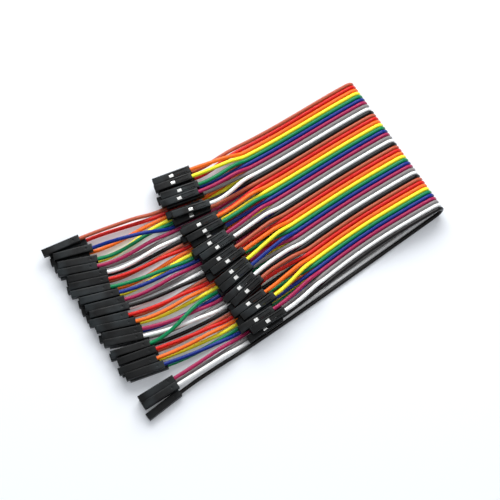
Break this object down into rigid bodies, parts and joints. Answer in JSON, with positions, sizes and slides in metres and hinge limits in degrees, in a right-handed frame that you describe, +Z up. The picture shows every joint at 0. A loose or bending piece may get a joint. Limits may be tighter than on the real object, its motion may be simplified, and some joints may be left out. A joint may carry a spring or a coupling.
{
  "type": "jumper wire ribbon",
  "caption": "Flat ribbon of rainbow-coloured breadboard jumper wires, folded over once, each wire ending in a single-way black socket housing at both ends.",
  "frame": {"origin": "on the table, under the middle of the box that holds all the housings", "axes": "+X along the ribbon towards its fold, +Y across the ribbon from the last wire (black) to the first (brown), +Z up from the table"},
  "size_m": [0.1282, 0.0722, 0.0074],
  "materials": {
    "housing_nylon": "satin black moulded nylon",
    "pvc_brown": "smooth extruded brown PVC",
    "pvc_red": "smooth extruded red PVC",
    "pvc_orange": "smooth extruded orange PVC",
    "pvc_yellow": "smooth extruded yellow PVC",
    "pvc_green": "smooth extruded green PVC",
    "pvc_blue": "smooth extruded blue PVC",
    "pvc_purple": "smooth extruded purple PVC",
    "pvc_grey": "smooth extruded grey PVC",
    "pvc_white": "smooth extruded white PVC",
    "pvc_black": "smooth extruded black PVC"
  },
  "bodies": {
    "root": {"upper_housings_01": "housing_nylon", "upper_housings_02": "housing_nylon", "upper_housings_03": "housing_nylon", "upper_housings_04": "housing_nylon", "upper_housings_05": "housing_nylon", "upper_housings_06": "housing_nylon", "upper_housings_07": "housing_nylon", "upper_housings_08": "housing_nylon", "upper_housings_09": "housing_nylon", "upper_housings_10": "housing_nylon", "lower_housings_01": "housing_nylon", "lower_housings_02": "housing_nylon", "lower_housings_03": "housing_nylon", "lower_housings_04": "housing_nylon", "lower_housings_05": "housing_nylon", "lower_housings_06": "housing_nylon", "lower_housings_07": "housing_nylon", "lower_housings_08": "housing_nylon", "lower_housings_09": "housing_nylon", "lower_housings_10": "housing_nylon", "wire_01_brown": "pvc_brown", "wire_02_red": "pvc_red", "wire_03_orange": "pvc_orange", "wire_04_yellow": "pvc_yellow", "wire_05_green": "pvc_green", "wire_06_blue": "pvc_blue", "wire_07_purple": "pvc_purple", "wire_08_grey": "pvc_grey", "wire_09_white": "pvc_white", "wire_10_black": "pvc_black", "wire_11_brown": "pvc_brown", "wire_12_red": "pvc_red", "wire_13_orange": "pvc_orange", "wire_14_yellow": "pvc_yellow", "wire_15_green": "pvc_green", "wire_16_blue": "pvc_blue", "wire_17_purple": "pvc_purple", "wire_18_grey": "pvc_grey", "wire_19_white": "pvc_white", "wire_20_black": "pvc_black", "wire_21_brown": "pvc_brown", "wire_22_red": "pvc_red", "wire_23_orange": "pvc_orange", "wire_24_yellow": "pvc_yellow", "wire_25_green": "pvc_green", "wire_26_blue": "pvc_blue", "wire_27_purple": "pvc_purple", "wire_28_grey": "pvc_grey", "wire_29_white": "pvc_white", "wire_30_black": "pvc_black", "wire_31_brown": "pvc_brown", "wire_32_red": "pvc_red", "wire_33_orange": "pvc_orange", "wire_34_yellow": "pvc_yellow", "wire_35_green": "pvc_green", "wire_36_blue": "pvc_blue", "wire_37_purple": "pvc_purple", "wire_38_grey": "pvc_grey", "wire_39_white": "pvc_white", "wire_40_black": "pvc_black"}
  },
  "joints": []
}
